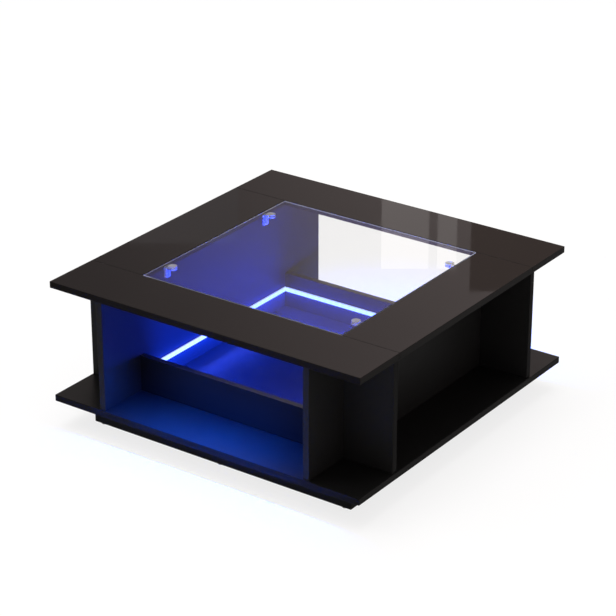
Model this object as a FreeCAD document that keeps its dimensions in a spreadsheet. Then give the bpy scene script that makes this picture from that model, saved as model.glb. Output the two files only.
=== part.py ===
import FreeCAD, Part
import os

import Sketcher

# Collectors display table: a low square table of black boards round a lit well with a glass lid.
# Millimetres, +Z up, origin on the floor under the middle. The front faces -Y, the right side +X.

SIZES = {
    # Boards
    "top_side": 800,
    "top_thick": 15,
    "border_width": 140,
    "seam_gap": 0.4,
    "board_round": 0.8,
    "base_thick": 15,
    "upright_thick": 15,
    "upright_height": 255,
    "edge_setback": 3,
    "wing_thick": 15,
    "low_wall_thick": 15,
    "low_wall_height": 84,
    # Plinth and floor glides
    "plinth_recess": 60,
    "plinth_height": 57,
    "plinth_thick": 15,
    "block_side": 30,
    "block_screw_bite": 10,
    "glide_height": 3,
    "glide_radius": 6,
    "glide_edge": 0.8,
    "glide_inset": 20,
    "nail_radius": 1.2,
    "nail_length": 12,
    # Glass lid, its pegs and suction cups
    "glass_thick": 5,
    "glass_gap": 1.5,
    "glass_arris": 0.6,
    "glass_seat_gap": 0.3,
    "cup_radius": 10,
    "cup_rise": 4,
    "cup_lip": 0.8,
    "cup_dish": 0.6,
    "cup_stem_radius": 2.5,
    "cup_inset": 20,
    "peg_end_gap": 80,
    "peg_width": 14,
    "peg_arm_reach": 28,
    "peg_arm_thick": 5,
    "peg_leg_thick": 8,
    "peg_leg_height": 26,
    "peg_pin_radius": 2.5,
    "peg_pin_length": 8,
    "peg_pin_rise": 8,
    "peg_round": 1,
    # Light strips and their ribbons
    "strip_height": 10,
    "strip_rise": 45,
    "strip_end_gap": 0.8,
    "carrier_thick": 1.2,
    "diffuser_depth": 4,
    "diffuser_round": 1.5,
    "canopy_inset": 20,
    "ribbon_width": 8,
    "ribbon_thick": 1.2,
    "ribbon_inset": 14,
    # Light controller
    "control_side_gap": 35,
    "control_wall_gap": 2,
    "control_length": 70,
    "control_width": 28,
    "control_wall": 1.6,
    "control_round": 1,
    "cover_round": 0.5,
    "case_height": 11,
    "cover_thick": 2,
    "tape_thick": 1,
    "tape_margin": 4,
    "ledge_height": 2,
    "ledge_width": 4,
    "circuit_thick": 1.2,
    "circuit_margin": 1.4,
    "switch_side": 6,
    "switch_height": 3.6,
    "button_radius": 4,
    "button_stand": 1.6,
    "button_edge": 0.6,
    "button_flange_radius": 5.2,
    "button_flange_thick": 0.8,
    "button_stem_radius": 1.7,
    "button_travel": 1,
    "button_fit": 0.25,
    "button_play": 0.1,
    "inlet_width": 9,
    "inlet_height": 3.4,
    "inlet_depth": 8,
    "inlet_shell": 0.4,
    "plug_height": 3,
    "plug_bite": 4,
    "boss_radius": 2.6,
    "boss_sink": 0.6,
    "case_screw_radius": 1,
    "case_screw_length": 8,
    "case_screw_head_radius": 1.9,
    "case_screw_head_height": 1.2,
    # Dowels, screws and cam fittings
    "dowel_radius": 4,
    "dowel_edge": 0.8,
    "dowel_length": 30,
    "dowel_top_bite": 10,
    "dowel_seam_bite": 15,
    "short_dowel_length": 24,
    "short_dowel_bite": 7,
    "base_screw_length": 45,
    "base_screw_radius": 2.5,
    "base_screw_head_radius": 5,
    "base_screw_head_height": 4,
    "base_screw_sink": 0.4,
    "screw_socket_radius": 2,
    "screw_socket_depth": 2.5,
    "screw_tip": 4,
    "screw_rail_gap": 25,
    "block_screw_radius": 2,
    "block_screw_head_radius": 4,
    "block_screw_head_height": 2.4,
    "cam_radius": 7.4,
    "cam_depth": 12,
    "cam_drop": 34,
    "cam_sink": 0.3,
    "cam_slot_width": 1.6,
    "cam_slot_depth": 2,
    "cam_cap_radius": 8.5,
    "cam_cap_thick": 1,
    "cam_cap_edge": 0.4,
    "bolt_radius": 3.4,
    "bolt_head_height": 3,
    "bolt_neck_radius": 2.2,
    "bolt_neck_length": 5,
    "bolt_thread_radius": 2.8,
    "bolt_thread_length": 11,
    # Clearances
    "hole_fit": 0.1,
    "hole_spare": 0.4,
    "cut_over": 2,
}

# Places of fasteners, as shares of the length of the piece that carries them
UPRIGHT_SCREW_SHARE = 0.42
LOW_WALL_SCREW_SHARE = 0.58
SIDE_DOWEL_SHARE = 0.77
SIDE_CAM_SHARE = 0.4
END_DOWEL_SHARE = 0.53
END_CAM_SHARE = 0.25
WING_DOWEL_SHARE = 0.86
WING_CAM_SHARE = 0.36
SEAM_DOWEL_SHARES = (0.12, 0.61)
WING_EDGE_SHARES = (0.16, 0.5, 0.84)
LOW_WALL_EDGE_SHARES = (0.28, 0.72)
CENTRE_RAIL_SHARES = (0.28, 0.72)
BLOCK_NEAR_SHARE = 0.33
BLOCK_FAR_SHARE = 0.73
BLOCK_HIGH_SHARE = 0.27
MIDDLE_SHARE = 0.5
BUTTON_PLACE_SHARE = 0.1
LEDGE_PLACE_SHARE = 0.25
PLUG_PLACE_SHARE = 0.28

# Levels and half widths that several pieces share
HALF = "(Sizes.top_side / 2)"
BASE_UNDER = "(Sizes.glide_height + Sizes.plinth_height)"
BASE_TOP = f"({BASE_UNDER} + Sizes.base_thick)"
TOP_UNDER = f"({BASE_TOP} + Sizes.upright_height)"
TOP_MIDDLE = f"({TOP_UNDER} + Sizes.top_thick / 2)"
TOP_FACE = f"({TOP_UNDER} + Sizes.top_thick)"
WELL = f"({HALF} - Sizes.border_width)"
BORDER_MIDDLE = f"({HALF} - Sizes.border_width / 2)"
UPRIGHT_MIDDLE = f"({WELL} + Sizes.upright_thick / 2)"
UPRIGHT_OUT = f"({WELL} + Sizes.upright_thick)"
WING_MIDDLE = f"({WELL} + Sizes.wing_thick / 2)"
WING_OUT = f"({WELL} + Sizes.wing_thick)"
LOW_WALL_MIDDLE = f"({WELL} + Sizes.low_wall_thick / 2)"
PANEL_END = f"({HALF} - Sizes.edge_setback)"
PLINTH_OUT = f"({HALF} - Sizes.plinth_recess)"
PLINTH_MIDDLE = f"({PLINTH_OUT} - Sizes.plinth_thick / 2)"
PLINTH_IN = f"({PLINTH_OUT} - Sizes.plinth_thick)"
STRIP_UNDER = f"({BASE_TOP} + Sizes.strip_rise - Sizes.strip_height / 2)"
STRIP_DEPTH = "(Sizes.carrier_thick + Sizes.diffuser_depth)"

SIDES = {"left": -1, "right": 1}
ENDS = {"front": -1, "back": 1}

TURNS = {
    "+X": FreeCAD.Rotation(FreeCAD.Vector(0, 1, 0), 90),
    "-X": FreeCAD.Rotation(FreeCAD.Vector(0, 1, 0), -90),
    "+Y": FreeCAD.Rotation(FreeCAD.Vector(1, 0, 0), -90),
    "-Y": FreeCAD.Rotation(FreeCAD.Vector(1, 0, 0), 90),
    "+Z": FreeCAD.Rotation(),
}
UP = FreeCAD.Vector(0, 0, 1)
HALF_TURN = 180

doc = FreeCAD.newDocument("display_table")
sheet = doc.addObject("Spreadsheet::Sheet", "Sizes")
for row, (alias, size) in enumerate(SIZES.items(), start=1):
    sheet.set(f"A{row}", alias)
    sheet.set(f"B{row}", str(size))
    sheet.setAlias(f"B{row}", alias)
doc.recompute()

nodes = []
blanks = {}
drills = {}


# Helpers
def keep(piece, label):
    """Names a finished sub-part and puts it on the list of nodes."""
    piece.Label = label
    nodes.append(piece)
    return piece


def place(piece, point, turn=None):
    """Puts a piece at a point given as three expressions, turned if asked."""
    if turn is not None:
        piece.Placement = FreeCAD.Placement(FreeCAD.Vector(), turn)
    for axis, expression in zip("xyz", point):
        piece.setExpression(f"Placement.Base.{axis}", expression)
    return piece


def shifted(point, axis, distance):
    """The point moved by a distance along a signed axis such as "-Y"."""
    moved = list(point)
    index = "XYZ".index(axis[1])
    moved[index] = f"({moved[index]}) {axis[0]} ({distance})"
    return tuple(moved)


def outline(body, role, points):
    """A closed sketch on one of the body's own planes, each corner bound to two expressions."""
    plane = next(feature for feature in body.Origin.OriginFeatures if feature.Role == role)
    sketch = body.newObject("Sketcher::SketchObject", "Outline")
    sketch.AttachmentSupport = [(plane, "")]
    sketch.MapMode = "FlatFace"
    corners = [FreeCAD.Vector(*map(sheet.evalExpression, point)) for point in points]
    following = corners[1:] + corners[:1]
    for start, finish in zip(corners, following):
        sketch.addGeometry(Part.LineSegment(start, finish))
    for line in range(len(points)):
        sketch.addConstraint(Sketcher.Constraint("Coincident", line, 2, (line + 1) % len(points), 1))
    for line, point in enumerate(points):
        for kind, expression in zip(("DistanceX", "DistanceY"), point):
            name = f"{kind}{line}"
            size = sheet.evalExpression(expression)
            constraint = sketch.addConstraint(Sketcher.Constraint(kind, -1, 1, line, 1, size))
            sketch.renameConstraint(constraint, name)
            sketch.setExpression(f"Constraints.{name}", expression)
    return sketch


def padded(name, role, points, length):
    """A body made by padding one outline."""
    body = doc.addObject("PartDesign::Body", name)
    pad = body.newObject("PartDesign::Pad", "Pad")
    pad.Profile = outline(body, role, points)
    pad.setExpression("Length", length)
    doc.recompute()
    return body


def turned(name, points):
    """A body made by turning a half section, radius and height, about its own Z axis."""
    body = doc.addObject("PartDesign::Body", name)
    sketch = outline(body, "XZ_Plane", points)
    turning = body.newObject("PartDesign::Revolution", "Turning")
    turning.Profile = sketch
    turning.ReferenceAxis = (sketch, ["V_Axis"])
    return body


def rounded(body, kind, size_name, size):
    """Rounds or bevels every edge of a body."""
    base = body.Tip
    dressing = body.newObject(f"PartDesign::{kind}", kind)
    dressing.Base = (base, ["Edge1"])
    dressing.UseAllEdges = True
    dressing.setExpression(size_name, size)
    return body


def slab(name, middle_x, middle_y, low_z, wide, deep, tall, edge="Sizes.board_round"):
    """A rectangular board with its edges rounded, centred over a point."""
    corners = [(f"{x} * {wide} / 2", f"{y} * {deep} / 2") for x, y in ((-1, -1), (1, -1), (1, 1), (-1, 1))]
    body = rounded(padded(name, "XY_Plane", corners, tall), "Fillet", "Radius", edge)
    return place(body, (middle_x, middle_y, low_z))


def block(name, middle_x, middle_y, low_z, wide, deep, tall):
    """A plain rectangular block, centred over a point."""
    box = doc.addObject("Part::Box", name)
    box.setExpression("Length", wide)
    box.setExpression("Width", deep)
    box.setExpression("Height", tall)
    return place(box, (f"{middle_x} - {wide} / 2", f"{middle_y} - {deep} / 2", low_z))


def rod(point, axis, radius, length):
    """A plain cylinder that starts at a point and runs along a signed axis."""
    cylinder = doc.addObject("Part::Cylinder", "Rod")
    cylinder.setExpression("Radius", radius)
    cylinder.setExpression("Height", length)
    return place(cylinder, point, TURNS[axis])


def combined(kind, label, pieces):
    """Several pieces as one Part::Compound or Part::MultiFuse."""
    made = doc.addObject(f"Part::{kind}", label)
    if kind == "Compound":
        made.Links = pieces
    else:
        made.Shapes = pieces
    return made


def cut(label, base, tools):
    """A piece with material taken away."""
    made = doc.addObject("Part::Cut", label)
    made.Base = base
    made.Tool = combined("Compound", "Tools", tools)
    return made


def group(label, pattern, places):
    """One node of identical separate solids: copies of a pattern at (point, turn) places."""
    copies = []
    for point, turn in places:
        copy = doc.addObject("App::Link", "Copy")
        copy.LinkedObject = pattern
        copies.append(place(copy, point, turn))
    return keep(combined("Compound", label, copies), label)


def board(label, *sizes):
    """A board that fasteners may still drill."""
    blanks[label] = slab(f"{label}_blank", *sizes)
    drills[label] = []


def bore(labels, point, axis, radius, length):
    """One drilled hole, cut in each board named."""
    tool = rod(point, axis, radius, length)
    for label in labels:
        drills[label].append(tool)


def mirrored(sign, expression):
    """An expression with the sign of the side or end that it belongs to."""
    return f"{sign} * {expression}"


def signed_axis(sign, letter):
    """The signed axis that points to that side or end."""
    return ("+" if sign > 0 else "-") + letter


def between(share, low, high):
    """A place between two levels, as a share of the way."""
    return f"({low} + {share} * ({high} - {low}))"


# Boards of the plinth, the base, the upright panels and the top
def make_boards():
    tall = "Sizes.plinth_height"
    rail = "Sizes.plinth_thick"
    for end, sign in ENDS.items():
        middle = mirrored(sign, PLINTH_MIDDLE)
        board(f"plinth_{end}_rail", "0", middle, "Sizes.glide_height", f"(2 * {PLINTH_OUT})", rail, tall)
    for side, sign in SIDES.items():
        middle = mirrored(sign, PLINTH_MIDDLE)
        board(f"plinth_{side}_rail", middle, "0", "Sizes.glide_height", rail, f"(2 * {PLINTH_IN})", tall)
    board("plinth_centre_rail", "0", "0", "Sizes.glide_height", rail, f"(2 * {PLINTH_IN})", tall)
    board("base_board", "0", "0", BASE_UNDER, "Sizes.top_side", "Sizes.top_side", "Sizes.base_thick")

    tall = "Sizes.upright_height"
    wing_long = f"({PANEL_END} - {UPRIGHT_OUT})"
    wing_centre = between(MIDDLE_SHARE, UPRIGHT_OUT, PANEL_END)
    for side, sign in SIDES.items():
        middle = mirrored(sign, UPRIGHT_MIDDLE)
        board(f"{side}_upright", middle, "0", BASE_TOP, "Sizes.upright_thick", f"(2 * {PANEL_END})", tall)
        for end, end_sign in ENDS.items():
            middle_x = mirrored(sign, wing_centre)
            middle_y = mirrored(end_sign, WING_MIDDLE)
            board(f"{end}_{side}_wing", middle_x, middle_y, BASE_TOP, wing_long, "Sizes.wing_thick", tall)
    for end, sign in ENDS.items():
        middle = mirrored(sign, LOW_WALL_MIDDLE)
        thick = "Sizes.low_wall_thick"
        board(f"{end}_low_wall", "0", middle, BASE_TOP, f"(2 * {WELL})", thick, "Sizes.low_wall_height")

    tall = "Sizes.top_thick"
    wide = "Sizes.border_width"
    for end, sign in ENDS.items():
        middle = mirrored(sign, BORDER_MIDDLE)
        board(f"top_{end}_board", "0", middle, TOP_UNDER, "Sizes.top_side", wide, tall)
    for side, sign in SIDES.items():
        deep = f"(2 * {WELL} - 2 * Sizes.seam_gap)"
        board(f"top_{side}_board", mirrored(sign, BORDER_MIDDLE), "0", TOP_UNDER, wide, deep, tall)


# Wooden dowels: a pattern for each length, and a drilled hole through both boards of each joint
def dowel_pattern(name, length):
    edge = "Sizes.dowel_edge"
    radius = "Sizes.dowel_radius"
    return turned(name, [
        ("0", "0"),
        (f"{radius} - {edge}", "0"),
        (radius, edge),
        (radius, f"{length} - {edge}"),
        (f"{radius} - {edge}", length),
        ("0", length),
    ])


def dowel_joint(boards, face_point, axis, bite, length):
    """Drills one dowel joint and returns the dowel's place: it enters the first board by its bite."""
    start = shifted(face_point, axis, f"-({bite})")
    deep_start = shifted(start, axis, "-Sizes.hole_spare")
    hole = "Sizes.dowel_radius + Sizes.hole_fit"
    bore(boards, deep_start, axis, hole, f"{length} + 2 * Sizes.hole_spare")
    return start, TURNS[axis]


def make_dowels():
    long_dowel = dowel_pattern("long_dowel", "Sizes.dowel_length")
    short_dowel = dowel_pattern("short_dowel", "Sizes.short_dowel_length")
    long_size = "Sizes.dowel_length"
    short_bite = "Sizes.short_dowel_bite"
    short_size = "Sizes.short_dowel_length"
    top_bite = f"({long_size} - Sizes.dowel_top_bite)"
    tops = []
    seams = []
    wings = []
    walls = []
    rails = []
    for side, sign in SIDES.items():
        outward = signed_axis(sign, "X")
        inward = signed_axis(-sign, "X")
        for end, end_sign in ENDS.items():
            wing = f"{end}_{side}_wing"
            upright_x = mirrored(sign, UPRIGHT_MIDDLE)
            end_y = mirrored(end_sign, between(END_DOWEL_SHARE, WING_OUT, PANEL_END))
            side_y = mirrored(end_sign, f"({SIDE_DOWEL_SHARE} * {WELL})")
            wing_x = mirrored(sign, between(WING_DOWEL_SHARE, UPRIGHT_OUT, PANEL_END))
            wing_y = mirrored(end_sign, WING_MIDDLE)
            for boards, x, y in (
                ((f"{side}_upright", f"top_{end}_board"), upright_x, end_y),
                ((f"{side}_upright", f"top_{side}_board"), upright_x, side_y),
                ((wing, f"top_{end}_board"), wing_x, wing_y),
            ):
                tops.append(dowel_joint(boards, (x, y, TOP_UNDER), "+Z", top_bite, long_size))
            for share in SEAM_DOWEL_SHARES:
                seam_x = mirrored(sign, between(share, UPRIGHT_OUT, PANEL_END))
                point = (seam_x, mirrored(end_sign, WELL), TOP_MIDDLE)
                boards = (f"top_{side}_board", f"top_{end}_board")
                seam_axis = signed_axis(end_sign, "Y")
                seams.append(dowel_joint(boards, point, seam_axis, "Sizes.dowel_seam_bite", long_size))
            for share in WING_EDGE_SHARES:
                point = (mirrored(sign, UPRIGHT_OUT), wing_y, between(share, BASE_TOP, TOP_UNDER))
                wings.append(dowel_joint((f"{side}_upright", wing), point, outward, short_bite, short_size))
            for share in LOW_WALL_EDGE_SHARES:
                level = f"({BASE_TOP} + {share} * Sizes.low_wall_height)"
                point = (mirrored(sign, WELL), mirrored(end_sign, LOW_WALL_MIDDLE), level)
                boards = (f"{side}_upright", f"{end}_low_wall")
                walls.append(dowel_joint(boards, point, inward, short_bite, short_size))
    for end, sign in ENDS.items():
        for share in CENTRE_RAIL_SHARES:
            point = ("0", mirrored(sign, PLINTH_IN), between(share, "Sizes.glide_height", BASE_UNDER))
            boards = (f"plinth_{end}_rail", "plinth_centre_rail")
            rails.append(dowel_joint(boards, point, signed_axis(-sign, "Y"), short_bite, short_size))
    group("top_dowels", long_dowel, tops)
    group("seam_dowels", long_dowel, seams)
    group("wing_dowels", short_dowel, wings)
    group("low_wall_dowels", short_dowel, walls)
    group("plinth_dowels", short_dowel, rails)


# Screws that hold the base board to everything that stands on it
def make_base_screws():
    head_radius = "Sizes.base_screw_head_radius"
    head_height = "Sizes.base_screw_head_height"
    radius = "Sizes.base_screw_radius"
    length = "Sizes.base_screw_length"
    pattern = turned("base_screw", [
        ("0", "Sizes.screw_socket_depth"),
        ("Sizes.screw_socket_radius", "Sizes.screw_socket_depth"),
        ("Sizes.screw_socket_radius", "0"),
        (head_radius, "0"),
        (head_radius, head_height),
        (radius, head_height),
        (radius, f"{length} - Sizes.screw_tip"),
        ("0", length),
    ])
    joints = []
    for side, sign in SIDES.items():
        for end, end_sign in ENDS.items():
            upright_x = mirrored(sign, UPRIGHT_MIDDLE)
            wing_y = mirrored(end_sign, WING_MIDDLE)
            wing_near = mirrored(sign, between(MIDDLE_SHARE, UPRIGHT_OUT, PLINTH_IN))
            wing_far = mirrored(sign, between(MIDDLE_SHARE, PLINTH_OUT, PANEL_END))
            joints += [
                (f"{side}_upright", upright_x, mirrored(end_sign, f"({PLINTH_IN} - Sizes.screw_rail_gap)")),
                (f"{side}_upright", upright_x, mirrored(end_sign, f"({UPRIGHT_SCREW_SHARE} * {WELL})")),
                (f"{end}_{side}_wing", wing_near, wing_y),
                (f"{end}_{side}_wing", wing_far, wing_y),
                (
                    f"{end}_low_wall",
                    mirrored(sign, f"({LOW_WALL_SCREW_SHARE} * {WELL})"),
                    mirrored(end_sign, LOW_WALL_MIDDLE),
                ),
            ]
    places = []
    seat = f"({BASE_UNDER} + Sizes.base_screw_sink)"
    below = f"{BASE_UNDER} - Sizes.cut_over"
    counterbore = f"Sizes.cut_over + Sizes.base_screw_sink + {head_height}"
    shank_hole = f"{radius} + Sizes.hole_fit"
    shank_deep = f"{length} + Sizes.hole_spare"
    for panel, x, y in joints:
        places.append(((x, y, seat), None))
        bore((panel, "base_board"), (x, y, seat), "+Z", shank_hole, shank_deep)
        bore(("base_board",), (x, y, below), "+Z", f"{head_radius} + Sizes.hole_fit", counterbore)
    group("base_screws", pattern, places)


# Corner blocks in the plinth, with their screws into both rails and up into the base board
def make_plinth_blocks():
    side = "Sizes.block_side"
    radius = "Sizes.block_screw_radius"
    head_radius = "Sizes.block_screw_head_radius"
    length = f"({side} + Sizes.block_screw_bite)"
    pattern = turned("block_screw", [
        ("0", "-Sizes.block_screw_head_height"),
        (head_radius, "-Sizes.block_screw_head_height"),
        (head_radius, "0"),
        (radius, "0"),
        (radius, f"{length} - Sizes.screw_tip"),
        ("0", length),
    ])
    under = f"({BASE_UNDER} - {side})"
    near = f"({PLINTH_IN} - {BLOCK_NEAR_SHARE} * {side})"
    far = f"({PLINTH_IN} - {BLOCK_FAR_SHARE} * {side})"
    inner = f"({PLINTH_IN} - {side})"
    high = f"({BASE_UNDER} - {BLOCK_HIGH_SHARE} * {side})"
    low = f"({BASE_UNDER} - {BLOCK_FAR_SHARE} * {side})"
    blocks = []
    places = []
    for side_name, sign in SIDES.items():
        for end, end_sign in ENDS.items():
            centre_x = mirrored(sign, f"({PLINTH_IN} - {side} / 2)")
            centre_y = mirrored(end_sign, f"({PLINTH_IN} - {side} / 2)")
            blank = block("Block", centre_x, centre_y, under, side, side, side)
            tools = []
            for target, point, axis in (
                (
                    f"plinth_{side_name}_rail",
                    (mirrored(sign, inner), mirrored(end_sign, near), high),
                    signed_axis(sign, "X"),
                ),
                (
                    f"plinth_{end}_rail",
                    (mirrored(sign, near), mirrored(end_sign, inner), low),
                    signed_axis(end_sign, "Y"),
                ),
                ("base_board", (mirrored(sign, far), mirrored(end_sign, far), under), "+Z"),
            ):
                places.append((point, TURNS[axis]))
                start = shifted(point, axis, "-Sizes.cut_over")
                deep = f"Sizes.cut_over + {length} + Sizes.hole_spare"
                tools.append(rod(start, axis, f"{radius} + Sizes.hole_fit", deep))
                drills[target].append(tools[-1])
            blocks.append(cut("CornerBlock", blank, tools))
    keep(combined("Compound", "plinth_corner_blocks", blocks), "plinth_corner_blocks")
    group("plinth_screws", pattern, places)


# Nail-on glides that the plinth stands on
def make_glides():
    radius = "Sizes.glide_radius"
    edge = "Sizes.glide_edge"
    height = "Sizes.glide_height"
    nail = "Sizes.nail_radius"
    pattern = turned("floor_glide", [
        ("0", "0"),
        (f"{radius} - {edge}", "0"),
        (radius, edge),
        (radius, height),
        (nail, height),
        (nail, f"{height} + Sizes.nail_length - {nail}"),
        ("0", f"{height} + Sizes.nail_length"),
    ])
    corner = f"({PLINTH_OUT} - Sizes.glide_inset)"
    spots = [("plinth_centre_rail", "0", "0")]
    for side, sign in SIDES.items():
        spots.append((f"plinth_{side}_rail", mirrored(sign, PLINTH_MIDDLE), "0"))
    for end, sign in ENDS.items():
        for across in (-1, 0, 1):
            spots.append((f"plinth_{end}_rail", mirrored(across, corner), mirrored(sign, PLINTH_MIDDLE)))
    for rail, x, y in spots:
        start = (x, y, f"{height} - Sizes.cut_over")
        deep = "Sizes.cut_over + Sizes.nail_length + Sizes.hole_spare"
        bore((rail,), start, "+Z", f"{nail} + Sizes.hole_fit", deep)
    group("floor_glides", pattern, [((x, y, "0"), None) for rail, x, y in spots])


# Cam fittings that draw the top boards down: locks in the panels, bolts in the boards, caps over the locks
def cam_patterns():
    radius = "Sizes.cam_radius"
    depth = "Sizes.cam_depth"
    drum = turned("cam_drum", [("0", "0"), (radius, "0"), (radius, depth), ("0", depth)])
    middle = f"({depth} / 2)"
    head_half = "Sizes.bolt_head_height / 2"
    channel = rod(
        (f"-({head_half}) - Sizes.hole_spare", "0", middle),
        "+X",
        "Sizes.bolt_radius + Sizes.hole_spare",
        f"{radius} + {head_half} + Sizes.hole_spare + Sizes.cut_over",
    )
    slot = block("Slot", "0", "0", "0", f"(2 * {radius})", "Sizes.cam_slot_width", "Sizes.cam_slot_depth")
    lock = cut("cam_lock", drum, [channel, slot])

    bolt = "Sizes.bolt_radius"
    head = "Sizes.bolt_head_height"
    neck = "Sizes.bolt_neck_radius"
    neck_top = f"{head} + Sizes.bolt_neck_length"
    level = f"(Sizes.cam_drop + {head} / 2)"
    thread = "Sizes.bolt_thread_radius"
    thread_top = f"{level} + Sizes.bolt_thread_length"
    stud = turned("cam_bolt", [
        ("0", "0"),
        (bolt, "0"),
        (bolt, head),
        (neck, head),
        (neck, neck_top),
        (bolt, neck_top),
        (bolt, level),
        (thread, level),
        (thread, thread_top),
        ("0", thread_top),
    ])

    cap_radius = "Sizes.cam_cap_radius"
    cap = "Sizes.cam_cap_thick"
    edge = "Sizes.cam_cap_edge"
    lid = turned("cam_cap", [
        ("0", "0"),
        (cap_radius, "0"),
        (cap_radius, f"{cap} - {edge}"),
        (f"{cap_radius} - {edge}", cap),
        ("0", cap),
    ])
    return lock, stud, lid


def make_cams():
    lock, stud, lid = cam_patterns()
    joints = []
    for side, sign in SIDES.items():
        inward = signed_axis(-sign, "X")
        for end, end_sign in ENDS.items():
            face_x = mirrored(sign, UPRIGHT_OUT)
            end_y = mirrored(end_sign, between(END_CAM_SHARE, WING_OUT, PANEL_END))
            side_y = mirrored(end_sign, f"({SIDE_CAM_SHARE} * {WELL})")
            wing_x = mirrored(sign, between(WING_CAM_SHARE, UPRIGHT_OUT, PANEL_END))
            wing_face = mirrored(end_sign, WELL)
            joints += [
                (f"{side}_upright", f"top_{end}_board", (face_x, end_y), inward),
                (f"{side}_upright", f"top_{side}_board", (face_x, side_y), inward),
                (f"{end}_{side}_wing", f"top_{end}_board", (wing_x, wing_face), signed_axis(end_sign, "Y")),
            ]
    level = f"({TOP_UNDER} - Sizes.cam_drop)"
    bolt_hole = "Sizes.bolt_radius + Sizes.hole_fit"
    thread_hole = "Sizes.bolt_thread_radius + Sizes.hole_fit"
    thread_deep = "Sizes.cut_over + Sizes.bolt_thread_length + Sizes.hole_spare"
    pocket = "Sizes.cam_radius + Sizes.hole_fit"
    pocket_deep = "Sizes.cut_over + Sizes.cam_sink + Sizes.cam_depth + Sizes.hole_spare"
    locks = []
    bolts = []
    caps = []
    for panel, top, (x, y), axis in joints:
        face = (x, y, level)
        into = TURNS[axis].multVec(UP)
        middle = shifted(face, axis, "Sizes.cam_sink + Sizes.cam_depth / 2")
        bore((panel,), shifted(face, axis, "-Sizes.cut_over"), axis, pocket, pocket_deep)
        bore((panel,), middle, "+Z", bolt_hole, "Sizes.cam_drop + Sizes.cut_over")
        socket = (middle[0], middle[1], f"{TOP_UNDER} - Sizes.cut_over")
        bore((top,), socket, "+Z", thread_hole, thread_deep)
        lock_turn = FreeCAD.Rotation(UP, FreeCAD.Vector(), into, "ZXY")
        locks.append((shifted(face, axis, "Sizes.cam_sink"), lock_turn))
        bolts.append(((middle[0], middle[1], f"{level} - Sizes.bolt_head_height / 2"), None))
        caps.append((face, FreeCAD.Rotation(UP, FreeCAD.Vector(), -into, "ZXY")))
    group("cam_locks", lock, locks)
    group("cam_bolts", stud, bolts)
    group("cam_caps", lid, caps)


# Glass lid on suction cups, which stand on pegs in the two uprights
def make_glass():
    side = f"(2 * {WELL} - 2 * Sizes.glass_gap)"
    under = f"({TOP_FACE} - Sizes.glass_thick)"
    corners = [(f"{x} * {side} / 2", f"{y} * {side} / 2") for x, y in ((-1, -1), (1, -1), (1, 1), (-1, 1))]
    pane = padded("glass", "XY_Plane", corners, "Sizes.glass_thick")
    rounded(pane, "Chamfer", "Size", "Sizes.glass_arris")
    keep(place(pane, ("0", "0", under)), "glass_panel")

    arm = "Sizes.peg_arm_thick"
    leg = "Sizes.peg_leg_height"
    wide = "Sizes.peg_width"
    angle = rounded(padded("peg_angle", "XZ_Plane", [
        ("0", "0"),
        ("Sizes.peg_leg_thick", "0"),
        ("Sizes.peg_leg_thick", f"{leg} - {arm}"),
        ("Sizes.peg_arm_reach", f"{leg} - {arm}"),
        ("Sizes.peg_arm_reach", leg),
        ("0", leg),
    ], wide), "Fillet", "Radius", "Sizes.peg_round")
    place(angle, ("0", f"{wide} / 2", "0"))
    pin_long = "Sizes.peg_pin_length + Sizes.peg_leg_thick / 2"
    pin_start = ("Sizes.peg_leg_thick / 2", "0", "Sizes.peg_pin_rise")
    pin = rod(pin_start, "-X", "Sizes.peg_pin_radius", pin_long)
    stem_hole = rod(
        ("Sizes.cup_inset", "0", f"{leg} - {arm} - Sizes.cut_over"),
        "+Z",
        "Sizes.cup_stem_radius + Sizes.hole_fit",
        f"{arm} + 2 * Sizes.cut_over",
    )
    peg = cut("glass_peg", combined("MultiFuse", "PegBlank", [angle, pin]), [stem_hole])

    cup_top = f"({arm} + Sizes.cup_rise)"
    cup = turned("suction_cup", [
        ("0", "0"),
        ("Sizes.cup_stem_radius", "0"),
        ("Sizes.cup_stem_radius", f"{arm} + Sizes.cup_lip"),
        ("Sizes.cup_radius", f"{cup_top} - Sizes.cup_lip"),
        ("Sizes.cup_radius", cup_top),
        ("Sizes.cup_stem_radius", f"{cup_top} - Sizes.cup_dish"),
        ("0", f"{cup_top} - Sizes.cup_dish"),
    ])
    arm_under = f"({under} - Sizes.glass_seat_gap - {cup_top})"
    peg_under = f"({arm_under} + {arm} - {leg})"
    pegs = []
    cups = []
    for side_name, sign in SIDES.items():
        inward = signed_axis(-sign, "X")
        turn = FreeCAD.Rotation(UP, HALF_TURN if sign > 0 else 0)
        for end_sign in ENDS.values():
            y = mirrored(end_sign, f"({WELL} - Sizes.peg_end_gap)")
            foot = (mirrored(sign, WELL), y, peg_under)
            pegs.append((foot, turn))
            cups.append(((mirrored(sign, f"({WELL} - Sizes.cup_inset)"), y, arm_under), None))
            pin_point = shifted((foot[0], y, f"{peg_under} + Sizes.peg_pin_rise"), inward, "Sizes.cut_over")
            bore(
                (f"{side_name}_upright",),
                pin_point,
                signed_axis(sign, "X"),
                "Sizes.peg_pin_radius + Sizes.hole_fit",
                "Sizes.cut_over + Sizes.peg_pin_length + Sizes.hole_spare",
            )
    group("glass_pegs", peg, pegs)
    group("suction_cups", cup, cups)


# Light strips: a ring round the well and one under the top over each low wall's compartment
def strip(name, carrier_box, diffuser_box):
    """A flat carrier and the rounded diffuser on it."""
    keep(block(f"{name}_carrier", *carrier_box), f"{name}_strip_carrier")
    keep(slab(f"{name}_diffuser", *diffuser_box, "Sizes.diffuser_round"), f"{name}_strip_diffuser")


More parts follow.
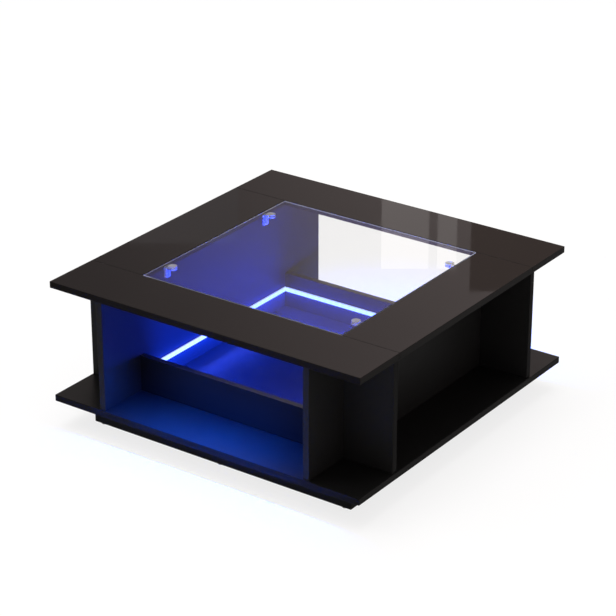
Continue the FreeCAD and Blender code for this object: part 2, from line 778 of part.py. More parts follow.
def make_strips():
    tall = "Sizes.strip_height"
    carrier = "Sizes.carrier_thick"
    depth = "Sizes.diffuser_depth"
    back_place = f"({WELL} - {carrier} / 2)"
    front_place = f"({WELL} - {carrier} - {depth} / 2)"
    long_run = f"(2 * ({WELL} - Sizes.strip_end_gap))"
    short_run = f"(2 * ({WELL} - {STRIP_DEPTH} - Sizes.strip_end_gap))"
    for side, sign in SIDES.items():
        strip(
            f"well_{side}",
            (mirrored(sign, back_place), "0", STRIP_UNDER, carrier, long_run, tall),
            (mirrored(sign, front_place), "0", STRIP_UNDER, depth, long_run, tall),
        )
    for end, sign in ENDS.items():
        strip(
            f"well_{end}",
            ("0", mirrored(sign, back_place), STRIP_UNDER, short_run, carrier, tall),
            ("0", mirrored(sign, front_place), STRIP_UNDER, short_run, depth, tall),
        )
    canopy_run = f"(2 * ({WELL} - Sizes.ribbon_thick - Sizes.strip_end_gap))"
    for end, sign in ENDS.items():
        middle = mirrored(sign, f"({HALF} - Sizes.canopy_inset)")
        strip(
            f"canopy_{end}",
            ("0", middle, f"({TOP_UNDER} - {carrier})", canopy_run, tall, carrier),
            ("0", middle, f"({TOP_UNDER} - {STRIP_DEPTH})", canopy_run, tall, depth),
        )

    inner = f"({WELL} - Sizes.ribbon_inset - Sizes.ribbon_width)"
    outer = f"({WELL} - Sizes.ribbon_inset)"
    reach = f"({HALF} - Sizes.canopy_inset + {tall} / 2)"
    low = f"({STRIP_UNDER} + {tall})"
    high = f"({TOP_UNDER} - Sizes.ribbon_width)"
    for end, sign in ENDS.items():
        ribbon = padded(f"{end}_ribbon", "YZ_Plane", [
            (mirrored(sign, inner), low),
            (mirrored(sign, outer), low),
            (mirrored(sign, outer), high),
            (mirrored(sign, reach), high),
            (mirrored(sign, reach), TOP_UNDER),
            (mirrored(sign, inner), TOP_UNDER),
        ], "Sizes.ribbon_thick")
        keep(place(ribbon, (f"{WELL} - Sizes.ribbon_thick", "0", "0")), f"{end}_feed_ribbon")


# Light controller on the well floor behind the front low wall
def make_controller():
    long = "Sizes.control_length"
    middle_x = f"({WELL} - Sizes.control_side_gap - {long} / 2)"
    low_y = f"(-{WELL} + Sizes.control_wall_gap)"
    middle_y = f"({low_y} + Sizes.control_width / 2)"
    wide = "Sizes.control_width"
    wall = "Sizes.control_wall"
    fit = "Sizes.hole_fit"
    over = "Sizes.cut_over"
    case_under = f"({BASE_TOP} + Sizes.tape_thick)"
    case_top = f"({case_under} + Sizes.case_height)"
    floor = f"({case_under} + {wall})"
    circuit_under = f"({floor} + Sizes.ledge_height)"
    circuit_top = f"({circuit_under} + Sizes.circuit_thick)"
    inner_long = f"({long} - 2 * {wall})"
    inner_wide = f"({wide} - 2 * {wall})"
    tape_long = f"({long} - 2 * Sizes.tape_margin)"
    tape_wide = f"({wide} - 2 * Sizes.tape_margin)"
    keep(
        block("tape", middle_x, middle_y, BASE_TOP, tape_long, tape_wide, "Sizes.tape_thick"),
        "controller_tape",
    )

    # Screw posts at two opposite corners, sunk a little into the walls
    post_inset = "(Sizes.boss_radius - Sizes.boss_sink)"
    posts = [
        (
            f"({middle_x} + {sign} * ({inner_long} / 2 - {post_inset}))",
            f"({middle_y} + {sign} * ({inner_wide} / 2 - {post_inset}))",
        )
        for sign in (-1, 1)
    ]
    screw_hole = f"Sizes.case_screw_radius + {fit}"

    # Places of the inlet at the right end and the strip plug in the front side
    inlet_x = f"({middle_x} + {long} / 2 - Sizes.inlet_depth / 2)"
    plug_x = f"({middle_x} - {PLUG_PLACE_SHARE} * {long})"
    plug_low_y = f"(-{WELL} + Sizes.ribbon_thick)"
    plug_long = f"({low_y} + {wall} + Sizes.plug_bite - {plug_low_y})"
    plug_y = f"({plug_low_y} + {plug_long} / 2)"

    # Case with ledges, posts and the two windows in its wall
    shell = slab(
        "case_shell", middle_x, middle_y, case_under, long, wide, "Sizes.case_height", "Sizes.control_round"
    )
    hollow_tall = f"(Sizes.case_height + {over})"
    hollow = block("Hollow", middle_x, middle_y, floor, inner_long, inner_wide, hollow_tall)
    inside = [cut("case_tray", shell, [hollow])]
    for sign in (-1, 1):
        ledge_x = f"({middle_x} + {sign} * {LEDGE_PLACE_SHARE} * {long})"
        ledge_size = ("Sizes.ledge_width", inner_wide, "Sizes.ledge_height")
        inside.append(block("Ledge", ledge_x, middle_y, floor, *ledge_size))
    for x, y in posts:
        inside.append(rod((x, y, floor), "+Z", "Sizes.boss_radius", f"{case_top} - {floor}"))
    screw_start = f"{case_top} + Sizes.cover_thick - Sizes.case_screw_length - Sizes.hole_spare"
    windows = [
        block(
            "InletWindow",
            f"({middle_x} + {long} / 2)",
            middle_y,
            f"({circuit_top} - {fit})",
            f"(2 * {wall} + 2 * {fit})",
            f"(Sizes.inlet_width + 2 * {fit})",
            f"(Sizes.inlet_height + 2 * {fit})",
        ),
        block(
            "PlugWindow",
            plug_x,
            low_y,
            f"({circuit_top} - {fit})",
            f"(Sizes.ribbon_width + 2 * {fit})",
            f"(2 * {wall} + 2 * {fit})",
            f"(Sizes.plug_height + 2 * {fit})",
        ),
    ]
    for x, y in posts:
        windows.append(rod((x, y, screw_start), "+Z", screw_hole, f"Sizes.case_screw_length + {over}"))
    keep(cut("controller_case", combined("MultiFuse", "CaseBlank", inside), windows), "controller_case")

    # Cover with the button's hole and the screws that hold it
    button_x = f"({middle_x} + {BUTTON_PLACE_SHARE} * {long})"
    plate = slab(
        "cover_plate", middle_x, middle_y, case_top, long, wide, "Sizes.cover_thick", "Sizes.cover_round"
    )
    through = f"Sizes.cover_thick + 2 * {over}"
    below = f"{case_top} - {over}"
    button_hole = "Sizes.button_radius + Sizes.button_fit"
    cover_holes = [rod((button_x, middle_y, below), "+Z", button_hole, through)]
    for x, y in posts:
        cover_holes.append(rod((x, y, below), "+Z", screw_hole, through))
    keep(cut("controller_cover", plate, cover_holes), "controller_cover")
    head = "Sizes.case_screw_head_height"
    screw = turned("case_screw", [
        ("0", "0"),
        ("Sizes.case_screw_radius", "0"),
        ("Sizes.case_screw_radius", "Sizes.case_screw_length"),
        ("Sizes.case_screw_head_radius", "Sizes.case_screw_length"),
        ("Sizes.case_screw_head_radius", f"Sizes.case_screw_length + {head}"),
        ("0", f"Sizes.case_screw_length + {head}"),
    ])
    screw_under = f"{case_top} + Sizes.cover_thick - Sizes.case_screw_length"
    group("controller_screws", screw, [((x, y, screw_under), None) for x, y in posts])

    # Circuit board on the ledges, clear of the posts, with its switch, inlet and strip plug
    circuit_long = f"({inner_long} - 2 * Sizes.circuit_margin)"
    circuit_wide = f"({inner_wide} - 2 * Sizes.circuit_margin)"
    circuit = block(
        "circuit", middle_x, middle_y, circuit_under, circuit_long, circuit_wide, "Sizes.circuit_thick"
    )
    notch_radius = "Sizes.boss_radius + Sizes.hole_spare"
    notches = [rod((x, y, floor), "+Z", notch_radius, f"{case_top} - {floor}") for x, y in posts]
    keep(cut("circuit_board", circuit, notches), "circuit_board")
    side = "Sizes.switch_side"
    switch = block("switch", button_x, middle_y, circuit_top, side, side, "Sizes.switch_height")
    switch_top = f"({circuit_top} + Sizes.switch_height)"
    well_deep = "(Sizes.button_travel + Sizes.hole_spare)"
    stem_well = rod(
        (button_x, middle_y, f"{switch_top} - {well_deep}"),
        "+Z",
        "Sizes.button_stem_radius + Sizes.button_fit",
        f"{well_deep} + {over}",
    )
    keep(cut("tactile_switch", switch, [stem_well]), "tactile_switch")
    shell_box = block(
        "inlet_shell",
        inlet_x,
        middle_y,
        circuit_top,
        "Sizes.inlet_depth",
        "Sizes.inlet_width",
        "Sizes.inlet_height",
    )
    mouth = block(
        "InletMouth",
        f"({inlet_x} + Sizes.inlet_shell)",
        middle_y,
        f"({circuit_top} + Sizes.inlet_shell)",
        "Sizes.inlet_depth",
        "(Sizes.inlet_width - 2 * Sizes.inlet_shell)",
        "(Sizes.inlet_height - 2 * Sizes.inlet_shell)",
    )
    keep(cut("power_inlet", shell_box, [mouth]), "power_inlet")
    keep(
        block("plug", plug_x, plug_y, circuit_top, "Sizes.ribbon_width", plug_long, "Sizes.plug_height"),
        "strip_plug",
    )
    lead_y = f"(-{WELL} + Sizes.ribbon_thick / 2)"
    lead_tall = f"({STRIP_UNDER} - {circuit_top})"
    keep(
        block("lead", plug_x, lead_y, circuit_top, "Sizes.ribbon_width", "Sizes.ribbon_thick", lead_tall),
        "strip_lead",
    )

    # Push button: a stem over the switch, a flange under the cover and the cap through it
    flange_top = f"({case_top} - Sizes.button_play)"
    stem_under = f"({switch_top} + Sizes.button_play)"
    stem = f"({flange_top} - Sizes.button_flange_thick - {stem_under})"
    flange = f"({flange_top} - {stem_under})"
    top = f"({case_top} + Sizes.cover_thick + Sizes.button_stand - {stem_under})"
    radius = "Sizes.button_radius"
    edge = "Sizes.button_edge"
    button = turned("button", [
        ("0", "0"),
        ("Sizes.button_stem_radius", "0"),
        ("Sizes.button_stem_radius", stem),
        ("Sizes.button_flange_radius", stem),
        ("Sizes.button_flange_radius", flange),
        (radius, flange),
        (radius, f"{top} - {edge}"),
        (f"{radius} - {edge}", top),
        ("0", top),
    ])
    keep(place(button, (button_x, middle_y, stem_under)), "power_button")


make_boards()
make_dowels()
make_base_screws()
make_plinth_blocks()
make_glides()
make_cams()
make_glass()
make_strips()
make_controller()
for label, blank in blanks.items():
    keep(cut(label, blank, drills[label]), label)
doc.recompute()

failed = [piece.Name for piece in doc.Objects if {"Invalid", "Error"} & set(piece.State)]
if failed:
    raise RuntimeError(f"failed to build: {failed}")
for piece in nodes:
    if piece.Shape.isNull() or not piece.Shape.isValid() or not piece.Shape.Solids:
        raise RuntimeError(f"bad shape: {piece.Label}")

os.makedirs("parts", exist_ok=True)
for piece in nodes:
    piece.Shape.exportStep(f"parts/{piece.Label}.step")
print(len(nodes), "nodes,", sum(len(piece.Shape.Solids) for piece in nodes), "solids")
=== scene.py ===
"""The looks of a display table: its finishes, its light strips, the studio round it and the camera."""

import math

import bmesh
import bpy
from mathutils import Matrix, Vector


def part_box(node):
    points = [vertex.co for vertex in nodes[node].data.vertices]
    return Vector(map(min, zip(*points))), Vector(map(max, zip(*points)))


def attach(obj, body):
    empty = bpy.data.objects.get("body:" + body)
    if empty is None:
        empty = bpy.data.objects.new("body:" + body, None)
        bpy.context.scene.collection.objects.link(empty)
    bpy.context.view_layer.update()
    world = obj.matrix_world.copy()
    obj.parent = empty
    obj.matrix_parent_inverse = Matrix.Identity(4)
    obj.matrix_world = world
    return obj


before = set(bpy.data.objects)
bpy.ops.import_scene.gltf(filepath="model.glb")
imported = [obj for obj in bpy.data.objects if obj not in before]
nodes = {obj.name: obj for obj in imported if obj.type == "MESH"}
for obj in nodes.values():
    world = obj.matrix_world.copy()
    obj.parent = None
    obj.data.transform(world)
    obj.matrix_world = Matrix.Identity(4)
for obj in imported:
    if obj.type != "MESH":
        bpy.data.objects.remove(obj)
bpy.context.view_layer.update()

# Camera, fitted to the photograph, with its place in metres
IMAGE_PIXELS = 616
FOCAL_PIXELS = 2343.55
SENSOR_MM = 36.0
CAMERA_PLACE = Vector((2.6854, -3.7929, 2.3816))
CAMERA_AZIMUTH = math.radians(35.391)
CAMERA_ELEVATION = math.radians(24.753)

# Floor and backdrop, in metres
FLOOR_RADIUS = 14.0
SWEEP_RADIUS = 2.0
SWEEP_STEPS = 12
SWEEP_SEGMENTS = 96
FLOOR_DROP = 0.0003
FLOOR_ALBEDO = 0.92
FLOOR_ROUGHNESS = 0.9
FLOOR_SHINE = 0.1
BACKGROUND_SHARE = 0.8

# Surroundings: colours, and the spans of the heading over which they change
WORLD_DARK = (0.19, 0.163, 0.16)
WORLD_LIGHT = (0.58, 0.485, 0.47)
WORLD_TURN = (-0.12, 0.14)
CEILING = (1.1, 1.07, 1.05)
CEILING_RISE = (0.7, 0.86)
# How far ahead a heading has to point to have a slope, and to show a panel
LEAST_FORWARD = 0.001
PANEL_FORWARD = 0.1
# Panels far behind the table, which show in its gloss: left, right, bottom and top as slopes, and colour
PANELS = (
    ((-0.083, -0.032, 0.2, 0.428), (0.31, 0.275, 0.275)),
    ((0.034, 0.056, 0.2, 0.441), (0.86, 0.76, 0.74)),
    ((0.06, 0.069, 0.2, 0.441), (0.86, 0.76, 0.74)),
    ((0.0755, 0.135, 0.2, 0.4525), (0.26, 0.2, 0.18)),
)

# Studio lamps, in metres and watts, with the overhead one in watts to the square metre
SOFTBOX_PLACE = Vector((-1.9, -1.7, 2.9))
SOFTBOX_TARGET = Vector((0.0, 0.0, 0.25))
SOFTBOX_SIDE = 1.4
SOFTBOX_POWER = 18.0
OVERHEAD_AIM = Vector((0.12, -0.05, -0.99))
OVERHEAD_STRENGTH = 1.5
OVERHEAD_ANGLE = math.radians(36.0)

# Spans of most of a noise's values, and of a normal's part along an axis between an edge and a face
NOISE_SPAN = (0.3, 0.7)
FACING_SPAN = (0.85, 0.95)

# Rubbed arrises of the boards
WEAR_WIDTH = 0.0012
WEAR_TURN = (0.97, 0.75)
WEAR_PATCHES = (0.4, 0.65)
LEAST_WEAR = 0.1
WEAR_COLOUR = (0.03, 0.027, 0.025)

# Boards: pairs go from the darkest or smoothest to the lightest or roughest, or from the edge to the face
GLOSS_BLACK = ((0.0034, 0.0026, 0.0024), (0.0056, 0.0044, 0.004))
GLOSS_BAND = (0.0055, 0.0045, 0.004)
GLOSS_BAND_ROUGHNESS = (0.3, 0.4)
GLOSS_SHINE = (0.02, 0.45)
SMEAR_SPAN = (0.35, 0.75)
SMEAR_ROUGHNESS = (0.008, 0.035)
DUST_SPAN = (0.5, 0.75)
MOST_DUST = 0.5
DUST_COLOUR = (0.05, 0.048, 0.046)
SATIN_BAND = ((0.0045, 0.0043, 0.0042), (0.0075, 0.0072, 0.007))
SATIN_CLOUD_SHARES = (0.86, 1.14)
SATIN_ROUGHNESS = (0.29, 0.37)
UPRIGHT_ROUGHENING = 0.12
SHEET_SHINE = 0.035

# Glass lid, and the painted glow that leaves its edges
GLASS_EDGE = (0.94, 0.985, 0.975)
GLASS_FACE = (0.985, 0.995, 0.995)
GLASS_EDGE_ROUGHNESS = 0.6
GLASS_IOR = 1.38
EDGE_GLOW_FRONT = (0.6, 0.63, 0.85)
EDGE_GLOW_SIDE = (0.1, 0.11, 0.18)
EDGE_GLOW_STRENGTH = 0.45
# Most that random patches take off the painted edge glow
MOST_GLOW_GAP = 0.3
UNLIT = (0.0, 0.0, 0.0)

# Light strips' own look
DIFFUSER_COLOUR = (0.34, 0.43, 1.0)
DIFFUSER_STRENGTH = 2.2
BETWEEN_DIODES_SHARES = (0.86, 0.92, 0.97)
DIODE_PITCH = 0.0167
CONDUCTOR_PITCH = 0.0025
RIBBON_WIDTH = 0.008

# Light that the strips throw, from thin lamps along them, in metres and watts
WELL_GLOW = (0.006, 0.045, 1.0)
CANOPY_GLOW = (0.003, 0.1, 1.0)
GLOW_WIDTH = 0.008
WASH_GAP = 0.006
FILL_GAP = 0.015
WALL_WASH_POWER = 2.2
WELL_FILL_POWER = 23.5
FILL_RISE = 0.35
FILL_SHARE = 0.7
FLOOR_WASH_POWER = 6.5
FLOOR_WASH_LEAN = 0.5
CANOPY_POWER = 15.5
CANOPY_SPREAD = math.radians(95.0)
CANOPY_SHARE = 0.65
CANOPY_LEAN = 0.15

# Places of the colour sockets on a Mix node
MIX_SHARE = 0
MIX_COLOURS = (6, 7)
MIX_RESULT = 2


# Materials
class Tree:
    """A node tree, with short ways to add and join its nodes."""

    def __init__(self, tree):
        self.tree = tree
        self.coords = self.node("TexCoord").outputs

    def node(self, kind, inputs=None, **settings):
        """A new node with its settings made and its inputs fed."""
        made = self.tree.nodes.new(f"ShaderNode{kind}")
        for name, value in settings.items():
            setattr(made, name, value)
        for name, value in (inputs or {}).items():
            self.feed(made.inputs[name], value)
        return made

    def feed(self, socket, value):
        """Links a socket to another one, or gives it a plain value."""
        if isinstance(value, bpy.types.NodeSocket):
            self.tree.links.new(value, socket)
        else:
            socket.default_value = value

    def ramp(self, value, span, low=0.0, high=1.0, kind="LINEAR"):
        """The value taken from a span to the range from low to high, and held at its ends."""
        start, finish = span
        made = self.node("MapRange", {
            "Value": value, "From Min": start, "From Max": finish, "To Min": low, "To Max": high,
        }, interpolation_type=kind)
        return made.outputs["Result"]

    def between(self, share, first, second):
        """The number that lies a share of the way from the first to the second."""
        return self.ramp(share, (0.0, 1.0), first, second)

    def math(self, operation, *values):
        """The result of one sum."""
        made = self.node("Math", operation=operation)
        for socket, value in zip(made.inputs, values):
            self.feed(socket, value)
        return made.outputs["Value"]

    def dot(self, first, second):
        """How far one vector reaches along another."""
        made = self.node("VectorMath", {0: first, 1: second}, operation="DOT_PRODUCT")
        return made.outputs["Value"]

    def parts(self, vector):
        """The X, Y and Z of a vector."""
        return self.node("SeparateXYZ", {"Vector": vector}).outputs

    def mix(self, share, first, second):
        """Two colours mixed by a share."""
        made = self.node("Mix", data_type="RGBA")
        self.feed(made.inputs[MIX_SHARE], share)
        for place, value in zip(MIX_COLOURS, (first, second)):
            linked = isinstance(value, bpy.types.NodeSocket)
            self.feed(made.inputs[place], value if linked else (*value, 1.0))
        return made.outputs[MIX_RESULT]


class Paint(Tree):
    """One material, from its shader and the patterns that feed it."""

    def __init__(self, name):
        self.material = bpy.data.materials.new(name)
        self.material.use_nodes = True
        super().__init__(self.material.node_tree)
        self.shader = self.tree.nodes["Principled BSDF"]

    def set(self, **inputs):
        """Sets or links the shader's own sockets, named with underscores for spaces."""
        for name, value in inputs.items():
            self.feed(self.shader.inputs[name.replace("_", " ")], value)

    def place(self, stretch=(1.0, 1.0, 1.0)):
        """The point on the piece in metres, stretched along each axis."""
        mapping = self.node("Mapping", {"Vector": self.coords["Object"], "Scale": stretch})
        return mapping.outputs["Vector"]

    def noise(self, scale, detail=2.0, stretch=(1.0, 1.0, 1.0)):
        """A cloudy pattern, with its scale in waves to the metre."""
        made = self.node("TexNoise", {"Vector": self.place(stretch), "Scale": scale, "Detail": detail})
        return made.outputs["Fac"]

    def vary(self, pattern, low, high):
        """A number that a noise carries from low to high."""
        return self.ramp(pattern, NOISE_SPAN, low, high)

    def specks(self, scale, size):
        """Small round dots, 1 inside and 0 outside."""
        cells = self.node("TexVoronoi", {"Vector": self.place(), "Scale": scale})
        return self.ramp(cells.outputs["Distance"], (size, 0.0))

    def facing(self, axis):
        """1 on the faces that look along an axis, 0 on the edges between them."""
        reach = self.math("ABSOLUTE", self.parts(self.coords["Normal"])[axis])
        return self.ramp(reach, FACING_SPAN)

    def worn(self):
        """1 where the arrises are rubbed, 0 on the faces."""
        rounded = self.node("Bevel", {"Radius": WEAR_WIDTH}, samples=4)
        flat = self.node("NewGeometry").outputs["True Normal"]
        arris = self.ramp(self.dot(rounded.outputs["Normal"], flat), WEAR_TURN)
        patches = self.ramp(self.noise(scale=55.0, detail=4.0), WEAR_PATCHES, low=LEAST_WEAR)
        return self.math("MULTIPLY", arris, patches)

    def bump(self, height, depth):
        """Raises the surface with a pattern, by a depth in metres."""
        made = self.node("Bump", {"Height": height, "Distance": depth})
        self.set(Normal=made.outputs["Normal"])


def gloss_laminate():
    """High-gloss black faces with a satin band round the edges."""
    paint = Paint("gloss_laminate")
    face = paint.facing("Z")
    black = paint.mix(paint.noise(scale=7.0, detail=4.0), *GLOSS_BLACK)
    dusty = paint.ramp(paint.noise(scale=60.0), DUST_SPAN, high=MOST_DUST)
    dust = paint.math("MULTIPLY", paint.specks(scale=420.0, size=0.09), dusty)
    whole = paint.mix(face, GLOSS_BAND, paint.mix(dust, black, DUST_COLOUR))
    paint.set(Base_Color=paint.mix(paint.worn(), whole, WEAR_COLOUR))
    smear = paint.noise(scale=11.0, detail=5.0, stretch=(1.0, 2.2, 1.0))
    face_rough = paint.ramp(smear, SMEAR_SPAN, *SMEAR_ROUGHNESS)
    band_rough = paint.vary(paint.noise(scale=900.0), *GLOSS_BAND_ROUGHNESS)
    paint.set(Roughness=paint.between(face, band_rough, face_rough))
    paint.set(Specular_IOR_Level=paint.between(face, *GLOSS_SHINE))
    paint.bump(paint.noise(scale=240.0, detail=1.0), depth=0.0000015)
    return paint.material


def satin_board(name, axis, shade, shine, edge_shine):
    """Satin black melamine that shines on level faces, with a plain band on the edges across an axis; a
    lower shade paints shade onto some boards.
    """
    paint = Paint(name)
    level = paint.facing("Z")
    sheet_side = paint.facing(axis)
    sheet_shades = [(share * shade,) * 3 for share in SATIN_CLOUD_SHARES]
    sheet = paint.mix(paint.noise(scale=9.0, detail=4.0), *sheet_shades)
    band = paint.mix(paint.noise(scale=30.0), *SATIN_BAND)
    paint.set(Base_Color=paint.mix(paint.worn(), paint.mix(sheet_side, band, sheet), WEAR_COLOUR))
    rough = paint.vary(paint.noise(scale=24.0, detail=4.0), *SATIN_ROUGHNESS)
    paint.set(Roughness=paint.math("ADD", rough, paint.between(level, UPRIGHT_ROUGHENING, 0.0)))
    upright_shine = paint.between(sheet_side, edge_shine, SHEET_SHINE)
    level_shine = paint.math("MULTIPLY", level, shine)
    paint.set(Specular_IOR_Level=paint.math("MAXIMUM", upright_shine, level_shine))
    paint.bump(paint.noise(scale=1500.0), depth=0.000003)
    return paint.material


def lid_glass():
    """Clear float glass whose ground edges are green and carry a painted glow, paler and stronger on the
    front edge.
    """
    paint = Paint("lid_glass")
    face = paint.facing("Z")
    paint.set(Base_Color=paint.mix(face, GLASS_EDGE, GLASS_FACE))
    paint.set(Roughness=paint.between(face, GLASS_EDGE_ROUGHNESS, 0.0))
    paint.set(Transmission_Weight=1.0, IOR=GLASS_IOR)
    # Painted glow: the edges emit light though the glass is no lamp, paler and stronger on the front edge
    # than on the sides, weaker in random patches
    frontward = paint.math("MULTIPLY", paint.parts(paint.coords["Normal"])["Y"], -1.0)
    glow = paint.mix(paint.ramp(frontward, FACING_SPAN), EDGE_GLOW_SIDE, EDGE_GLOW_FRONT)
    glow_gaps = paint.vary(paint.noise(scale=90.0), 0.0, MOST_GLOW_GAP)
    dark = paint.math("MAXIMUM", face, glow_gaps)
    paint.set(Emission_Color=paint.mix(dark, glow, UNLIT), Emission_Strength=EDGE_GLOW_STRENGTH)
    return paint.material


def clear_moulding(name, tint, roughness, clearness):
    """Clear plastic or vinyl with faint flow marks."""
    mark_colour = (0.97, 0.98, 0.99)
    plastic_ior = 1.46
    paint = Paint(name)
    marks = paint.noise(scale=160.0, detail=3.0)
    paint.set(Base_Color=paint.mix(marks, tint, mark_colour))
    paint.set(Roughness=paint.vary(marks, *roughness))
    paint.set(Transmission_Weight=clearness, IOR=plastic_ior)
    paint.bump(paint.noise(scale=300.0), depth=0.00003)
    return paint.material


def strip_light(axis):
    """Frosted diffuser, lit from inside, whose diodes show as faint steps along its length."""
    dark_frost = (0.04, 0.05, 0.07)
    light_frost = (0.05, 0.06, 0.08)
    paint = Paint(f"strip_light_{axis}")
    turns = paint.math("MULTIPLY", paint.parts(paint.coords["Object"])[axis], math.tau / DIODE_PITCH)
    diode = paint.ramp(paint.math("COSINE", turns), (-1.0, 1.0))
    dimmer = [share * part for share, part in zip(BETWEEN_DIODES_SHARES, DIFFUSER_COLOUR)]
    paint.set(Base_Color=paint.mix(paint.noise(scale=500.0), dark_frost, light_frost), Roughness=0.5)
    paint.set(Emission_Color=paint.mix(diode, dimmer, DIFFUSER_COLOUR))
    paint.set(Emission_Strength=DIFFUSER_STRENGTH)
    paint.bump(paint.noise(scale=900.0), depth=0.00002)
    return paint.material


def moulded(name, dark, light, rough, grain=1200.0, depth=0.00004):
    """Moulded plastic or rubber with a fine spark texture."""
    rough_change = 0.07
    patch_grains = 4.0
    paint = Paint(name)
    paint.set(Base_Color=paint.mix(paint.noise(scale=40.0, detail=3.0), dark, light))
    patches = paint.noise(scale=grain / patch_grains)
    paint.set(Roughness=paint.vary(patches, rough - rough_change, rough + rough_change))
    paint.bump(paint.noise(scale=grain), depth)
    return paint.material


def ribbon():
    """Black flat lead with the ridges of its conductors, which run up the wall and then under the top."""
    dark = (0.014, 0.014, 0.015)
    light = (0.022, 0.022, 0.023)
    paint = Paint("ribbon_lead")
    point = paint.parts(paint.coords["Object"])
    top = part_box("front_feed_ribbon")[1][2]
    level_run = paint.math("GREATER_THAN", point["Z"], top - RIBBON_WIDTH)
    upright_lane = paint.math("ADD", point["X"], point["Y"])
    lane = paint.between(level_run, upright_lane, point["Z"])
    ridge = paint.math("SINE", paint.math("MULTIPLY", lane, math.tau / CONDUCTOR_PITCH))
    paint.set(Base_Color=paint.mix(paint.noise(scale=60.0), dark, light))
    paint.set(Roughness=paint.vary(paint.noise(scale=200.0), low=0.4, high=0.52))
    paint.bump(ridge, depth=0.00015)
    return paint.material


def plated(name, dark, light, roughness):
    """Zinc plate with turning marks and a little bloom."""
    paint = Paint(name)
    paint.set(Base_Color=paint.mix(paint.noise(scale=220.0, detail=4.0), dark, light))
    paint.set(Metallic=1.0)
    paint.set(Roughness=paint.vary(paint.noise(scale=400.0, detail=3.0), *roughness))
    paint.bump(paint.noise(scale=600.0, stretch=(1.0, 1.0, 5.0)), depth=0.00003)
    return paint.material


def raw_wood(name, dark, light):
    """Bare wood with stretched grain."""
    grain_span = (0.35, 0.65)
    paint = Paint(name)
    grain = paint.noise(scale=40.0, detail=6.0, stretch=(1.0, 9.0, 9.0))
    paint.set(Base_Color=paint.mix(paint.ramp(grain, grain_span), dark, light))
    paint.set(Roughness=paint.vary(grain, low=0.55, high=0.72))
    paint.bump(grain, depth=0.0002)
    return paint.material


def circuit():
    """Green solder mask with lighter tracks."""
    mask_green = (0.015, 0.11, 0.045)
    track_green = (0.05, 0.24, 0.1)
    paint = Paint("circuit")
    bricks = paint.node("TexBrick", {"Vector": paint.place(), "Scale": 220.0, "Mortar Size": 0.06})
    tracks = bricks.outputs["Fac"]
    paint.set(Base_Color=paint.mix(tracks, mask_green, track_green))
    paint.set(Roughness=paint.vary(paint.noise(scale=300.0), low=0.25, high=0.4))
    paint.bump(tracks, depth=0.00003)
    return paint.material


# Materials on the pieces
def dress(names, material):
    """Gives each node its material."""
    for name in names:
        for slot in nodes[name].material_slots:
            slot.material = material


def named(*endings):
    """The nodes whose names end in any of these."""
    return [name for name in nodes if name.endswith(endings)]


def dress_boards():
    """The gloss border of the top, and the satin panels, base and plinth; the base, low walls and plinth
    rails get a darker copy of the same satin black as painted shade.
    """
    dress([f"top_{side}_board" for side in ("front", "back", "left", "right")], gloss_laminate())
    # Painted shade: the base board, the low walls and the plinth rails take about half the shade of the
    # uprights and wings, though all are the same satin black
    dress(["base_board"], satin_board("base_satin", "Z", shade=0.0055, shine=0.25, edge_shine=0.02))
    dress(named("_upright"), satin_board("upright_satin", "X", shade=0.0105, shine=0.45, edge_shine=0.07))
    dress(named("_wing"), satin_board("wing_satin", "Y", shade=0.0105, shine=0.45, edge_shine=0.012))
    dress(named("_low_wall"), satin_board("low_wall_satin", "Y", shade=0.0055, shine=0.9, edge_shine=0.03))
    # The plinth rails take the darker copy too, as painted shade
    rails = (("across", "Y", ("front", "back")), ("along", "X", ("left", "right", "centre")))
    for run, axis, sides in rails:
        rail_satin = satin_board(f"rail_satin_{run}", axis, shade=0.0055, shine=0.2, edge_shine=0.02)
        dress([f"plinth_{side}_rail" for side in sides], rail_satin)


def dress_lid():
    """The glass, and the clear pads that it lies on."""
    dress(["glass_panel"], lid_glass())
    peg_plastic = clear_moulding(
        "peg_plastic", tint=(0.88, 0.92, 0.95), roughness=(0.08, 0.16), clearness=0.8)
    dress(["glass_pegs"], peg_plastic)
    cup_vinyl = clear_moulding(
        "cup_vinyl", tint=(0.9, 0.94, 0.97), roughness=(0.1, 0.18), clearness=0.45)
    dress(["suction_cups"], cup_vinyl)


def dress_strips():
    """The light strips and their leads."""
    dress(named("front_strip_diffuser", "back_strip_diffuser"), strip_light("X"))
    dress(named("left_strip_diffuser", "right_strip_diffuser"), strip_light("Y"))
    carrier_white = moulded("carrier_white", (0.7, 0.7, 0.69), (0.8, 0.8, 0.79), rough=0.45)
    dress(named("_strip_carrier"), carrier_white)
    dress(["front_feed_ribbon", "back_feed_ribbon", "strip_lead"], ribbon())


def dress_controller():
    """The controller's case and what is in it."""
    case_black = moulded("case_black", (0.01, 0.01, 0.011), (0.016, 0.016, 0.017), rough=0.5)
    dress(["controller_case", "controller_cover"], case_black)
    foam_tape = moulded(
        "foam_tape", (0.5, 0.5, 0.48), (0.66, 0.66, 0.64), rough=0.85, grain=700.0, depth=0.0003)
    dress(["controller_tape"], foam_tape)
    dress(["circuit_board"], circuit())
    dress(["tactile_switch"], moulded("switch_black", (0.02, 0.02, 0.02), (0.03, 0.03, 0.03), rough=0.4))
    dress(["power_button"], moulded("button_grey", (0.13, 0.13, 0.14), (0.19, 0.19, 0.2), rough=0.38))
    dress(["strip_plug"], moulded("plug_white", (0.62, 0.62, 0.6), (0.72, 0.72, 0.7), rough=0.42))


